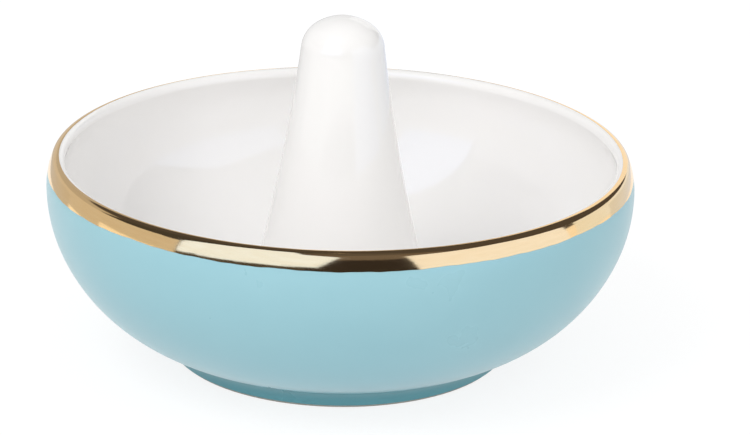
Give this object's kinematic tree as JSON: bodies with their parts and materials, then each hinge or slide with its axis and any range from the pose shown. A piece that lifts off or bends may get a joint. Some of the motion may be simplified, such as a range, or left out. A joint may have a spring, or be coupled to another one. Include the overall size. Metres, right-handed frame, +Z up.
{
  "type": "ring dish",
  "caption": "Round bowl on a low foot ring with a tapered post in the middle that holds finger rings, glazed white inside and turquoise outside, with a gold band at the lip.",
  "frame": {"origin": "centre of the circle that the foot ring stands on", "axes": "+Z up, along the axis that the dish and its post are turned about; X and Y are free, since the dish is round"},
  "size_m": [0.102, 0.102, 0.0602],
  "materials": {
    "white_china": "matt, unglazed bisque, bare only at the standing edge",
    "clear_glaze": "gloss, white china under clear glaze",
    "turquoise_glaze": "smooth satin gloss",
    "bright_gold": "bright fired-on gold, mirror smooth"
  },
  "bodies": {
    "root": {"dish_body": "white_china", "ring_post": "white_china", "slip_joint": "white_china", "inner_glaze": "clear_glaze", "turquoise_glaze": "turquoise_glaze", "base_glaze": "clear_glaze", "gold_band": "bright_gold"}
  },
  "joints": []
}
